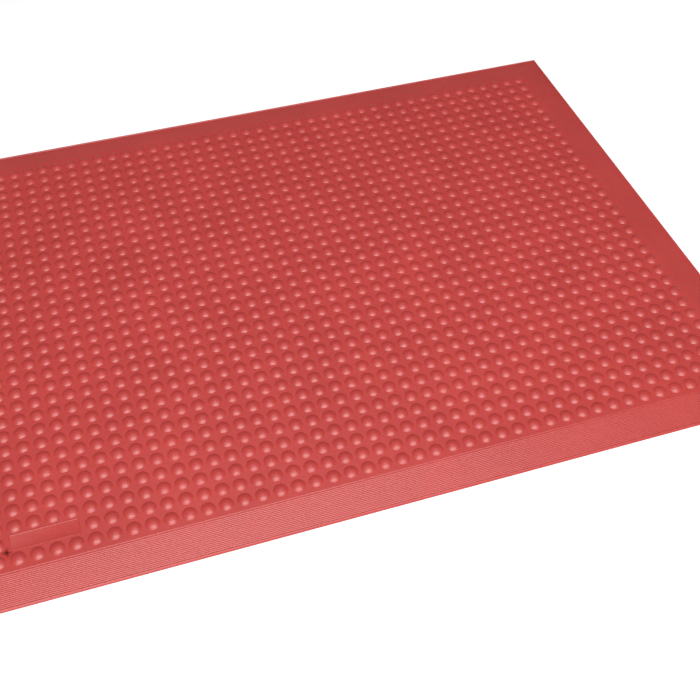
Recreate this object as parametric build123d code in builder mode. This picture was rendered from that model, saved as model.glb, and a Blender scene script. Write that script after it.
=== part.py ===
from build123d import *
import math
import os

# An anti-fatigue floor mat: a wear pad covered in bubbles, a foam core and a grip base in a stack, framed
# by four mitred, ribbed ramps whose tongues are held between the pad and the base, with a blank badge.
#
# Frame: +X runs along the long side, +Y towards the rear edge and +Z up. The origin is the centre of
# the underside, on the floor. All sizes are in millimetres.

# Bubbles on the wear pad: low round domes on a square grid.
bubble_pitch = 24.85
bubble_columns = 44
bubble_rows = 32
bubble_radius = 10.2
bubble_height = 3.5
bubble_margin = 16.6  # from the outermost bubble centres to the pad's edge

# The three layers, from the floor up.
base_thickness = 1.5
core_thickness = 4.5
pad_thickness = 4.5

# The ramps: their width outside the pad, and the tongue that the pad and the base hold.
ramp_width = 48.25
tongue_length = 12.0

# The ribs down each ramp, counted from the first groove just below the pad's edge.
rib_count = 17
rib_pitch = 2.48
rib_height = 0.5
first_groove_out = 1.6
first_groove_drop = 0.75
last_groove_height = 2.6

# The rounded bead along the outer edge of each ramp.
bead_crest_out = 46.0
bead_crest_height = 3.4
outer_edge_height = 1.4

# The badge takes the place of four bubbles in the second row from the front.
badge_columns = (40, 41, 42, 43)  # counted from 1 at the right-hand end
badge_row = 31  # counted from 1 at the rear
badge_length = 91.0
badge_width = 24.4
badge_corner_radius = 1.0
badge_edge_chamfer = 0.25
badge_pocket_depth = 1.0
badge_stand_out = 0.7

# Sizes that follow from those.
pad_length = (bubble_columns - 1) * bubble_pitch + 2 * bubble_margin
pad_width = (bubble_rows - 1) * bubble_pitch + 2 * bubble_margin
mat_length = pad_length + 2 * ramp_width
mat_width = pad_width + 2 * ramp_width
core_top = base_thickness + core_thickness
flat_height = core_top + pad_thickness


def column_x(column):
    """X of a column of bubbles, counted from 1 at the right-hand end."""
    return ((bubble_columns + 1) / 2 - column) * bubble_pitch


def row_y(row):
    """Y of a row of bubbles, counted from 1 at the rear."""
    return ((bubble_rows + 1) / 2 - row) * bubble_pitch


badge_x = (column_x(badge_columns[0]) + column_x(badge_columns[-1])) / 2
badge_y = row_y(badge_row)
badge_floor = flat_height - badge_pocket_depth

# Each bubble is the cap of a sphere. The cap starts a little below the pad's flat top, so that the two
# join, and there it is still narrower than the pitch, so that neighbouring bubbles stay apart.
sphere_radius = (bubble_radius**2 + bubble_height**2) / (2 * bubble_height)
sphere_centre_height = flat_height + bubble_height - sphere_radius
cap_root = 0.3
cap_latitude = math.degrees(math.asin((flat_height - cap_root - sphere_centre_height) / sphere_radius))
bubble_centres = [
    (column_x(column), row_y(row), sphere_centre_height)
    for row in range(1, bubble_rows + 1)
    for column in range(1, bubble_columns + 1)
    if not (row == badge_row and column in badge_columns)
]

os.makedirs("parts", exist_ok=True)

# Grip base: the sheet that rests on the floor.
with BuildPart() as grip_base:
    with BuildSketch(Plane.XY):
        Rectangle(pad_length, pad_width)
    extrude(amount=base_thickness)

grip_base.part.label = "grip_base"
export_step(grip_base.part, "parts/grip_base.step")

# Foam core: it stops short of the pad's edge on all sides, to leave room for the ramps' tongues.
with BuildPart() as foam_core:
    with BuildSketch(Plane.XY.offset(base_thickness)):
        Rectangle(pad_length - 2 * tongue_length, pad_width - 2 * tongue_length)
    extrude(amount=core_thickness)

foam_core.part.label = "foam_core"
export_step(foam_core.part, "parts/foam_core.step")

# Top pad: the wear layer and its bubbles, with a shallow pocket for the badge.
with BuildPart() as top_pad:
    with BuildSketch(Plane.XY.offset(core_top)):
        Rectangle(pad_length, pad_width)
    extrude(amount=pad_thickness)
    with Locations(*bubble_centres):
        Sphere(sphere_radius, arc_size1=cap_latitude, arc_size2=90, align=None)
    with BuildSketch(Plane.XY.offset(flat_height)):
        with Locations((badge_x, badge_y)):
            RectangleRounded(badge_length, badge_width, badge_corner_radius)
    extrude(amount=-badge_pocket_depth, mode=Mode.SUBTRACT)

top_pad.part.label = "top_pad"
export_step(top_pad.part, "parts/top_pad.step")

# Blank badge: a plain plate bonded into the pocket, which stands a little above the pad.
with BuildPart() as blank_badge:
    with BuildSketch(Plane.XY.offset(badge_floor)):
        with Locations((badge_x, badge_y)):
            RectangleRounded(badge_length, badge_width, badge_corner_radius)
    extrude(amount=badge_pocket_depth + badge_stand_out)
    chamfer(blank_badge.faces().sort_by(Axis.Z)[-1].edges(), badge_edge_chamfer)

blank_badge.part.label = "blank_badge"
export_step(blank_badge.part, "parts/blank_badge.step")

# Ramps: one section on all four sides. In the section, the first number is the distance outwards from
# the pad's edge and the second is the height.
first_groove = Vector(first_groove_out, flat_height - first_groove_drop)
last_groove = Vector(first_groove_out + rib_count * rib_pitch, last_groove_height)
rib_step = (last_groove - first_groove) / rib_count
rib_crest = rib_step / 2 + Vector(-rib_step.Y, rib_step.X).normalized() * rib_height

# Each side: its name, the direction outwards, the distance from the centre to the pad's edge, and the
# length of the ramp's outer edge.
sides = (
    ("front_ramp", Vector(0, -1, 0), pad_width / 2, mat_length),
    ("rear_ramp", Vector(0, 1, 0), pad_width / 2, mat_length),
    ("left_ramp", Vector(-1, 0, 0), pad_length / 2, mat_width),
    ("right_ramp", Vector(1, 0, 0), pad_length / 2, mat_width),
)

for name, outward, pad_edge, outer_length in sides:
    section_plane = Plane(origin=outward * pad_edge, x_dir=outward, z_dir=outward.cross(Vector(0, 0, 1)))
    plan_plane = Plane(origin=outward * pad_edge, x_dir=outward, z_dir=(0, 0, 1))
    tongue_end_length = outer_length - 2 * (ramp_width + tongue_length)
    with BuildPart() as ramp:
        with BuildSketch(section_plane):
            with BuildLine():
                Polyline(
                    (ramp_width, outer_edge_height),
                    (ramp_width, 0),
                    (0, 0),
                    (0, base_thickness),
                    (-tongue_length, base_thickness),
                    (-tongue_length, core_top),
                    (0, core_top),
                    (0, flat_height),
                    first_groove,
                )
                for rib in range(rib_count):
                    rib_start = first_groove + rib_step * rib
                    ThreePointArc(rib_start, rib_start + rib_crest, rib_start + rib_step)
                ThreePointArc(
                    last_groove,
                    (bead_crest_out, bead_crest_height),
                    (ramp_width, outer_edge_height),
                )
            make_face()
        extrude(amount=outer_length / 2, both=True)
        # The mitres, seen from above: 45 degrees at both ends, through the tongue as well.
        with BuildSketch(plan_plane):
            Polygon(
                (ramp_width, -outer_length / 2),
                (ramp_width, outer_length / 2),
                (-tongue_length, tongue_end_length / 2),
                (-tongue_length, -tongue_end_length / 2),
                align=None,
            )
        extrude(amount=flat_height, mode=Mode.INTERSECT)
    ramp.part.label = name
    export_step(ramp.part, f"parts/{name}.step")
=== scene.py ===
"""Looks for the anti fatigue mat: a bubbled pad, four ribbed ramps and a blank badge, in red rubber."""

import math

import bpy
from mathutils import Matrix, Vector
from mathutils.geometry import tessellate_polygon


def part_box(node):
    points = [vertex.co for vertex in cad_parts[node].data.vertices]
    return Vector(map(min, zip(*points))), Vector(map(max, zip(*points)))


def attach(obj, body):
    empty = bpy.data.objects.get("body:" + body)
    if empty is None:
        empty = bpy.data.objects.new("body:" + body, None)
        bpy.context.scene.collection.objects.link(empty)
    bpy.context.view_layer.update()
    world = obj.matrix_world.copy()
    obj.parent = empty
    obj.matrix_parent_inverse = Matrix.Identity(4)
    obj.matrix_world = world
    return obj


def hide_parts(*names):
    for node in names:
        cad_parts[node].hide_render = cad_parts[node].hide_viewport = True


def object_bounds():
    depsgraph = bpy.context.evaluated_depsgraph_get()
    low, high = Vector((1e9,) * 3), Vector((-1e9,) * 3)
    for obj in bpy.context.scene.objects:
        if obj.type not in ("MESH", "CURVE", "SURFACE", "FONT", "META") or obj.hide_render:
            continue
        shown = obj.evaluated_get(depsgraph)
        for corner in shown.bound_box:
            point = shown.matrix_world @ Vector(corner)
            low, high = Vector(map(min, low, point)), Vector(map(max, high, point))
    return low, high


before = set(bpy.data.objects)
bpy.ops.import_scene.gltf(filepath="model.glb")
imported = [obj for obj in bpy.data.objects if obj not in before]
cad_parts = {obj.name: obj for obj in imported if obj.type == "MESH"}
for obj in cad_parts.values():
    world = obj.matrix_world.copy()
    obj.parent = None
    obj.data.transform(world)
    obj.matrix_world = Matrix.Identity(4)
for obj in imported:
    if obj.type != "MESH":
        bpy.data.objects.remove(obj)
cad_low, cad_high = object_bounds()

MM = 0.001

# The frame's own places, in metres.
pad_low, pad_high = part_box("top_pad")
badge_low, badge_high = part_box("blank_badge")
core_low, core_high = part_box("foam_core")
base_low, base_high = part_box("grip_base")
mat_low, mat_high = cad_low, Vector((cad_high.x, cad_high.y, pad_high.z))
RAMP_WIDTH = mat_high.x - pad_high.x
TONGUE_LENGTH = pad_high.x - core_high.x

# Bubbles: a square grid, 44 along X and 32 along Y. Each is a low cap of a sphere.
PITCH = 24.85 * MM
COLUMNS, ROWS = 44, 32
BUBBLE_RADIUS = 10.2 * MM
BUBBLE_HEIGHT = 3.5 * MM
BUBBLE_SPHERE = (BUBBLE_RADIUS**2 + BUBBLE_HEIGHT**2) / (2 * BUBBLE_HEIGHT)
FLAT_HEIGHT = pad_high.z - BUBBLE_HEIGHT
RIM_SIDES = 24  # corners of a bubble's foot
CELL_SIDES = 8  # points on the border of a bubble's square cell
BADGE_COLUMNS = (1, 2, 3, 4)  # counted from 0 at the left-hand end
BADGE_ROW = 1  # counted from 0 at the front
BADGE_CORNER = 1.0 * MM
CORNER_STEPS = 6  # steps round a quarter of a round corner
POINTS_PER_METRE = 1e7  # points in the same tenth of a micron are one point
LEVEL = 1e-7  # a face with less than this height across it is flat
ON_EDGE = 1e-6  # a point nearer than this to the pad's edge is on it

# Ribs and bead of a ramp, in the ramp's own section: out from the pad's edge, and up.
RIB_COUNT = 17
RIB_PITCH = 2.48 * MM
RIB_HEIGHT = 0.25 * MM
FIRST_GROOVE = (1.6 * MM, FLAT_HEIGHT - 0.75 * MM)
LAST_GROOVE_HEIGHT = 2.6 * MM
BEAD_CREST = (46.0 * MM, 3.4 * MM)
OUTER_EDGE_HEIGHT = 1.4 * MM
RIB_STEPS = 8
BEAD_STEPS = 14


# ---------------------------------------------------------------- meshes


def mesh_object(name, points, faces):
    """A smooth-shaded object from points in metres and faces as lists of indices."""
    mesh = bpy.data.meshes.new(name)
    mesh.from_pydata([tuple(p) for p in points], [], faces)
    mesh.validate()
    mesh.polygons.foreach_set("use_smooth", [True] * len(mesh.polygons))
    mesh.update()
    piece = bpy.data.objects.new(name, mesh)
    bpy.context.scene.collection.objects.link(piece)
    return piece


def cell_border(x, y):
    """The eight points around a cell, anticlockwise from +X. The outermost cells reach the pad's edge."""
    half = PITCH / 2
    outer_x = COLUMNS / 2 * PITCH - half * 0.5
    outer_y = ROWS / 2 * PITCH - half * 0.5
    border = []
    for dx, dy in ((1, 0), (1, 1), (0, 1), (-1, 1), (-1, 0), (-1, -1), (0, -1), (1, -1)):
        px, py = x + dx * half, y + dy * half
        px = pad_high.x if px > outer_x else px
        px = pad_low.x if px < -outer_x else px
        py = pad_high.y if py > outer_y else py
        py = pad_low.y if py < -outer_y else py
        border.append((px, py))
    return border


def round_rectangle(low, high, inset, radius):
    """Points anticlockwise around a rectangle with round corners, drawn inset from the box low to high."""
    points = []
    corners = ((high.x, high.y), (low.x, high.y), (low.x, low.y), (high.x, low.y))
    for quarter, (px, py) in enumerate(corners):
        cx = px - math.copysign(inset + radius, px - (low.x + high.x) / 2)
        cy = py - math.copysign(inset + radius, py - (low.y + high.y) / 2)
        for k in range(CORNER_STEPS + 1):
            angle = math.pi / 2 * (quarter + k / CORNER_STEPS)
            points.append((cx + radius * math.cos(angle), cy + radius * math.sin(angle)))
    return points


class Skin:
    """Points and faces, where points in the same place are one point."""

    def __init__(self):
        self.points, self.faces, self.known = [], [], {}

    def point(self, x, y, z):
        key = tuple(round(value * POINTS_PER_METRE) for value in (x, y, z))
        if key not in self.known:
            self.known[key] = len(self.points)
            self.points.append((x, y, z))
        return self.known[key]

    def face(self, *corners):
        kept = [c for i, c in enumerate(corners) if c != corners[i - 1]]
        if len(kept) > 2:
            self.faces.append(kept)


def bubble_surface(radius):
    """Height of a bubble's surface at this distance from its middle."""
    return pad_high.z - BUBBLE_SPHERE + math.sqrt(BUBBLE_SPHERE**2 - radius**2)


def add_bubble(skin, x, y, border):
    """One bubble at x, y, with the flat around it out to the cell's border."""
    rings = []
    for share, corners in ((0.5, RIM_SIDES // 2), (0.8, RIM_SIDES), (1.0, RIM_SIDES)):
        radius = share * BUBBLE_RADIUS
        height = bubble_surface(radius)
        ring = []
        for k in range(corners):
            a = 2 * math.pi * k / corners
            ring.append(skin.point(x + radius * math.cos(a), y + radius * math.sin(a), height))
        rings.append(ring)
    middle = skin.point(x, y, bubble_surface(0.0))
    inner, second, rim = rings
    for k, start in enumerate(inner):
        end = inner[(k + 1) % len(inner)]
        a, b, c = second[2 * k], second[2 * k + 1], second[(2 * k + 2) % RIM_SIDES]
        skin.face(middle, start, end)
        skin.face(start, a, b)
        skin.face(start, b, end)
        skin.face(end, b, c)
    for k in range(RIM_SIDES):
        m = (k + 1) % RIM_SIDES
        skin.face(second[k], rim[k], rim[m], second[m])
    for k, start in enumerate(border):
        end = border[(k + 1) % CELL_SIDES]
        a, b, c, d = (rim[(3 * k + step) % RIM_SIDES] for step in range(4))
        skin.face(a, start, b)
        skin.face(b, start, end)
        skin.face(b, end, c)
        skin.face(c, end, d)


def add_badge_seat(skin):
    """The flat cells around the badge, with the shallow pocket that holds it."""
    half = PITCH / 2
    left = (BADGE_COLUMNS[0] - COLUMNS / 2) * PITCH
    right = (BADGE_COLUMNS[-1] + 1 - COLUMNS / 2) * PITCH
    front = (BADGE_ROW - ROWS / 2) * PITCH
    back = front + PITCH
    count = 2 * len(BADGE_COLUMNS)
    outer = [(left + k * half, front) for k in range(count)]
    outer += [(right, front), (right, front + half)]
    outer += [(right - k * half, back) for k in range(count)]
    outer += [(left, back), (left, front + half)]
    hole = round_rectangle(badge_low, badge_high, 0.0, BADGE_CORNER)
    flat = [Vector((x, y, 0)) for x, y in outer + hole]
    numbers = [skin.point(x, y, FLAT_HEIGHT) for x, y in outer + hole]
    for triangle in tessellate_polygon([flat[: len(outer)], flat[len(outer) :]]):
        a, b, c = (flat[i] for i in triangle)
        order = triangle if (b - a).cross(c - a).z > 0 else reversed(triangle)
        skin.face(*(numbers[i] for i in order))
    top = numbers[len(outer) :]
    bottom = [skin.point(x, y, badge_low.z) for x, y in hole]
    for k in range(len(hole)):
        m = (k + 1) % len(hole)
        skin.face(top[k], top[m], bottom[m], bottom[k])
    skin.face(*bottom)


def pad_normals(pad):
    """Gives every corner of the pad its true normal: round on the bubbles, flat everywhere else."""
    mesh = pad.data
    normals = []
    for polygon in mesh.polygons:
        corners = [mesh.vertices[i].co for i in polygon.vertices]
        heights = [corner.z for corner in corners]
        on_bubble = polygon.normal.z > 0.5 and max(heights) - min(heights) > LEVEL
        for corner in corners:
            if not on_bubble:
                normals.append(polygon.normal)
                continue
            x = corner.x - (math.floor(corner.x / PITCH) + 0.5) * PITCH
            y = corner.y - (math.floor(corner.y / PITCH) + 0.5) * PITCH
            normals.append(Vector((x, y, math.sqrt(BUBBLE_SPHERE**2 - x * x - y * y))).normalized())
    mesh.normals_split_custom_set(normals)


def make_pad():
    """The bubbled pad as one closed skin: top, four edges and a flat underside."""
    skin = Skin()
    for row in range(ROWS):
        for column in range(COLUMNS):
            x = (column - (COLUMNS - 1) / 2) * PITCH
            y = (row - (ROWS - 1) / 2) * PITCH
            if not (row == BADGE_ROW and column in BADGE_COLUMNS):
                add_bubble(skin, x, y, [skin.point(px, py, FLAT_HEIGHT) for px, py in cell_border(x, y)])
    add_badge_seat(skin)

    # The outline of the whole top, in order, carries the edges and the underside.
    def on_edge(p):
        at_x = min(abs(p[0] - pad_low.x), abs(p[0] - pad_high.x)) < ON_EDGE
        at_y = min(abs(p[1] - pad_low.y), abs(p[1] - pad_high.y)) < ON_EDGE
        return at_x or at_y

    aspect = pad_high.x / pad_high.y
    rim = [i for i, p in enumerate(skin.points) if on_edge(p)]
    rim.sort(key=lambda i: math.atan2(skin.points[i][1] * aspect, skin.points[i][0]))
    foot = [skin.point(skin.points[i][0], skin.points[i][1], pad_low.z) for i in rim]
    for k in range(len(rim)):
        m = (k + 1) % len(rim)
        skin.face(rim[m], rim[k], foot[k], foot[m])
    skin.face(*reversed(foot))
    pad = mesh_object("bubbled_top_pad", skin.points, skin.faces)
    pad_normals(pad)
    return pad


def ramp_section():
    """The ramp's outline, from its outer foot round under the tongue to the fold and down the ribs."""
    outline = [
        (RAMP_WIDTH, OUTER_EDGE_HEIGHT),
        (RAMP_WIDTH, mat_low.z),
        (0.0, mat_low.z),
        (0.0, base_high.z),
        (-TONGUE_LENGTH, base_high.z),
        (-TONGUE_LENGTH, core_high.z),
        (0.0, core_high.z),
        (0.0, FLAT_HEIGHT),
    ]
    start = Vector(FIRST_GROOVE)
    end = Vector((FIRST_GROOVE[0] + RIB_COUNT * RIB_PITCH, LAST_GROOVE_HEIGHT))
    step = (end - start) / RIB_COUNT
    normal = Vector((-step.y, step.x)).normalized()
    for rib in range(RIB_COUNT):
        for k in range(RIB_STEPS):
            t = k / RIB_STEPS
            rise = RIB_HEIGHT * 4 * t * (1 - t)
            outline.append(tuple(start + step * (rib + t) + normal * rise))
    # The bead is a quadratic curve through the crest, from the last groove to the outer edge.
    crest, edge = Vector(BEAD_CREST), Vector((RAMP_WIDTH, OUTER_EDGE_HEIGHT))
    middle = (crest - end * 0.25 - edge * 0.25) * 2
    for k in range(BEAD_STEPS):
        t = k / BEAD_STEPS
        outline.append(tuple(end * (1 - t) ** 2 + middle * 2 * t * (1 - t) + edge * t**2))
    return outline


def make_ramp(name, outward, pad_edge, outer_length):
    """A ramp with 45 degree mitres. outward is its direction from the mat's centre."""
    outward = Vector(outward)
    along = Vector((-outward.y, outward.x, 0))
    section = ramp_section()
    points = []
    for sign in (-1, 1):
        for out, up in section:
            reach = outer_length / 2 - (RAMP_WIDTH - out)
            points.append(outward * (pad_edge + out) + along * (sign * reach) + Vector((0, 0, up)))
    n = len(section)
    faces = [(k, (k + 1) % n, n + (k + 1) % n, n + k) for k in range(n)]
    faces.append(tuple(reversed(range(n))))
    faces.append(tuple(range(n, 2 * n)))
    return mesh_object(name, points, faces)


def make_badge():
    """The blank badge: a plate with round corners, a soft upper edge and a slightly sunken face."""
    # (inset from the outline, drop below the plate's top) of each loop from the foot to the face.
    border = 1.1 * MM
    loops = (
        (0.0, badge_high.z - badge_low.z),
        (0.0, 0.25 * MM),
        (0.08 * MM, 0.08 * MM),
        (0.25 * MM, 0.0),
        (border, 0.0),
        (border + 0.25 * MM, 0.2 * MM),
        (border + 0.5 * MM, 0.3 * MM),
    )
    skin = Skin()
    rows = []
    for inset, drop in loops:
        outline = round_rectangle(badge_low, badge_high, inset, max(BADGE_CORNER - inset, 0.15 * MM))
        rows.append([skin.point(x, y, badge_high.z - drop) for x, y in outline])
    n = len(rows[0])
    for low, high in zip(rows, rows[1:]):
        for k in range(n):
            m = (k + 1) % n
            skin.face(low[k], low[m], high[m], high[k])
    skin.face(*rows[-1])
    skin.face(*reversed(rows[0]))
    return mesh_object("plain_badge", skin.points, skin.faces)


def sharpen(piece, degrees):
    """Shades a piece smooth, but keeps edges sharper than this angle crisp."""
    bpy.context.view_layer.objects.active = piece
    piece.select_set(True)
    bpy.ops.object.shade_smooth_by_angle(angle=math.radians(degrees))
    piece.select_set(False)


# ---------------------------------------------------------------- materials


class Nodes:
    """A short way to build a material's node tree."""

    def __init__(self, name):
        self.material = bpy.data.materials.new(name)
        self.material.use_nodes = True
        self.tree = self.material.node_tree
        self.shader = self.tree.nodes["Principled BSDF"]

    def add(self, kind, inputs=None, **settings):
        node = self.tree.nodes.new(kind)
        for key, value in settings.items():
            setattr(node, key, value)
        for key, value in (inputs or {}).items():
            self.set(node, key, value)
        return node

    def set(self, node, key, value):
        if isinstance(value, bpy.types.NodeSocket):
            self.tree.links.new(value, node.inputs[key])
        else:
            node.inputs[key].default_value = value

    def coordinates(self):
        return self.add("ShaderNodeTexCoord").outputs["Object"]

    def noise(self, place, scale, detail=3.0, roughness=0.55):
        inputs = {"Vector": place, "Scale": scale, "Detail": detail, "Roughness": roughness}
        return self.add("ShaderNodeTexNoise", inputs).outputs["Fac"]

    def ramp(self, value, low, high, to_low, to_high):
        inputs = {"Value": value, "From Min": low, "From Max": high, "To Min": to_low, "To Max": to_high}
        return self.add("ShaderNodeMapRange", inputs).outputs["Result"]

    def mix(self, factor, first, second, blend="MIX"):
        node = self.add("ShaderNodeMix", data_type="RGBA", blend_type=blend)
        self.set(node, 0, factor)
        self.set(node, 6, first)
        self.set(node, 7, second)
        return node.outputs[2]

    def math(self, operation, first, second):
        node = self.add("ShaderNodeMath", operation=operation)
        self.set(node, 0, first)
        self.set(node, 1, second)
        return node.outputs[0]

    def bump(self, height, strength, distance, below=None):
        inputs = {"Height": height, "Strength": strength, "Distance": distance}
        if below is not None:
            inputs["Normal"] = below
        return self.add("ShaderNodeBump", inputs).outputs["Normal"]


def moulded_rubber(name, colour):
    """Red moulded rubber: a fine leathery grain, faint clouds of colour and an uneven satin gloss."""
    n = Nodes(name)
    place = n.coordinates()
    clouds = n.noise(place, 9.0, 4.0)
    mottle = n.noise(place, 160.0, 3.0)
    grain = n.noise(place, 1500.0, 2.0)
    pores = n.add("ShaderNodeTexVoronoi", {"Vector": place, "Scale": 900.0}, feature="F1")
    deep = tuple(c * 0.95 for c in colour) + (1.0,)
    light = tuple(min(1.0, c * 1.05) for c in colour) + (1.0,)
    base = n.mix(n.ramp(clouds, 0.3, 0.7, 0.0, 1.0), deep, light)
    speckle = n.ramp(mottle, 0.3, 0.7, 0.97, 1.03)
    grey = n.add("ShaderNodeCombineColor", {"Red": speckle, "Green": speckle, "Blue": speckle})
    n.set(n.shader, "Base Color", n.mix(1.0, base, grey.outputs["Color"], "MULTIPLY"))
    n.set(n.shader, "Roughness", n.ramp(n.math("ADD", clouds, mottle), 0.7, 1.3, 0.35, 0.42))
    n.set(n.shader, "IOR", 1.58)
    soft = n.bump(grain, 0.25, 0.0001)
    n.set(n.shader, "Normal", n.bump(pores.outputs["Distance"], 0.2, 0.0001, soft))
    return n.material


def foam(name, colour):
    """Closed-cell foam: small round cells with thin walls, each cell's hollow middle painted darker as
    shade.
    """
    n = Nodes(name)
    place = n.coordinates()
    bubbles = n.add("ShaderNodeTexVoronoi", {"Vector": place, "Scale": 1100.0}, feature="SMOOTH_F1")
    cells = bubbles.outputs["Distance"]
    clouds = n.noise(place, 14.0, 4.0)
    deep = tuple(c * 0.7 for c in colour) + (1.0,)
    # Painted shade: the colour darkens towards each cell's middle, where the bump below sinks the cell
    # into a pit.
    n.set(n.shader, "Base Color", n.mix(n.ramp(cells, 0.1, 0.6, 0.0, 1.0), deep, colour + (1.0,)))
    n.set(n.shader, "Roughness", n.ramp(clouds, 0.3, 0.7, 0.85, 0.97))
    n.set(n.shader, "Normal", n.bump(cells, 0.5, 0.0004))
    return n.material


def grip_sheet(name, colour):
    """Grip sheet: dull rubber with a fine woven imprint of crossing waves."""
    n = Nodes(name)
    place = n.coordinates()
    warp = n.add("ShaderNodeTexWave", {"Vector": place, "Scale": 90.0}, bands_direction="X")
    weft = n.add("ShaderNodeTexWave", {"Vector": place, "Scale": 90.0}, bands_direction="Y")
    weave = n.math("MULTIPLY", warp.outputs["Fac"], weft.outputs["Fac"])
    clouds = n.noise(place, 20.0, 4.0)
    dark = tuple(c * 0.7 for c in colour) + (1.0,)
    n.set(n.shader, "Base Color", n.mix(clouds, dark, colour + (1.0,)))
    n.set(n.shader, "Roughness", n.ramp(clouds, 0.3, 0.7, 0.7, 0.9))
    n.set(n.shader, "Normal", n.bump(weave, 0.5, 0.0004))
    return n.material


def plain_white(name, value):
    """Matt white that glows a little, so that the floor stays white away from the lights."""
    n = Nodes(name)
    n.set(n.shader, "Base Color", (value, value, value, 1.0))
    n.set(n.shader, "Roughness", 0.9)
    n.set(n.shader, "Specular IOR Level", 0.1)
    n.set(n.shader, "Emission Color", (1.0, 1.0, 1.0, 1.0))
    n.set(n.shader, "Emission Strength", 0.25)
    return n.material


def paint(piece, material):
    piece.data.materials.clear()
    piece.data.materials.append(material)


def paint_node(name, material):
    """Gives a carried CAD node this material in its object's own slots."""
    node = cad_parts[name]
    for slot in node.material_slots:
        slot.link = "OBJECT"
        slot.material = material


# ---------------------------------------------------------------- the mat

RED = (0.51, 0.055, 0.049)

pad = make_pad()
ramps = {
    "front_ramp": make_ramp("front_bevel", (0, -1, 0), pad_high.y, mat_high.x - mat_low.x),
    "rear_ramp": make_ramp("rear_bevel", (0, 1, 0), pad_high.y, mat_high.x - mat_low.x),
    "left_ramp": make_ramp("left_bevel", (-1, 0, 0), pad_high.x, mat_high.y - mat_low.y),
    "right_ramp": make_ramp("right_bevel", (1, 0, 0), pad_high.x, mat_high.y - mat_low.y),
}
badge = make_badge()
sharpen(badge, 40)

rubber = moulded_rubber("red_rubber", RED)
ramp_rubber = moulded_rubber("red_ramp_rubber", RED)

paint(pad, rubber)
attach(pad, "root")
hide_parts("top_pad")

for node, ramp in ramps.items():
    sharpen(ramp, 60)
    paint(ramp, ramp_rubber)
    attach(ramp, "root")
    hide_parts(node)

paint(badge, rubber)
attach(badge, "root")
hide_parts("blank_badge")

paint_node("foam_core", foam("red_foam", (0.3, 0.03, 0.03)))
paint_node("grip_base", grip_sheet("dark_grip", (0.06, 0.05, 0.05)))

# ---------------------------------------------------------------- studio

FLOOR_SIZE = 30.0
FLOOR_GAP = 0.0003  # the floor lies this much under the mat


def make_floor():
    bpy.ops.mesh.primitive_plane_add(size=FLOOR_SIZE, location=(0, 0, mat_low.z - FLOOR_GAP))
    floor = bpy.context.object
    floor.name = "studio_floor"
    paint(floor, plain_white("white_floor", 0.95))


def softbox(name, bearing, height, distance, size, power):
    """A rectangular softbox aimed at the mat.

    bearing is in degrees from +Y towards +X, height in degrees above the floor. distance and size,
    which is its width and its height, are in metres, and power in watts.
    """
    data = bpy.data.lights.new(name, "AREA")
    data.shape = "RECTANGLE"
    data.size, data.size_y = size
    data.energy = power
    lamp = bpy.data.objects.new(name, data)
    bpy.context.scene.collection.objects.link(lamp)
    turn, lift = math.radians(bearing), math.radians(height)
    level = distance * math.cos(lift)
    place = Vector((level * math.sin(turn), level * math.cos(turn), distance * math.sin(lift)))
    lamp.location = place
    lamp.rotation_euler = (-place).to_track_quat("-Z", "Y").to_euler()


def make_camera():
    data = bpy.data.cameras.new("camera")
    camera = bpy.data.objects.new("camera", data)
    bpy.context.scene.collection.objects.link(camera)
    data.sensor_width = 36.0
    data.lens = 52.2
    data.shift_x = 0.037
    # The place is in bubble pitches from the middle of the flat top.
    camera.location = (-13.12 * PITCH, -44.86 * PITCH, FLAT_HEIGHT + 46.52 * PITCH)
    yaw, pitch = math.radians(17.19), math.radians(49.32)
    camera.rotation_euler = (math.pi / 2 - pitch, 0, -yaw)
    bpy.context.scene.camera = camera


def make_world(strength):
    world = bpy.data.worlds.new("studio")
    world.use_nodes = True
    world.node_tree.nodes["Background"].inputs["Color"].default_value = (1, 1, 1, 1)
    world.node_tree.nodes["Background"].inputs["Strength"].default_value = strength
    bpy.context.scene.world = world


make_floor()
make_world(0.06)
softbox("high_front_softbox", 182, 66, 3.8, (3.4, 1.5), 136)
softbox("low_front_softbox", 200, 31, 6.0, (2.8, 2.8), 110)
softbox("overhead_softbox", 16, 80, 3.6, (1.8, 1.8), 14)
make_camera()
bpy.context.scene.view_settings.view_transform = "Standard"
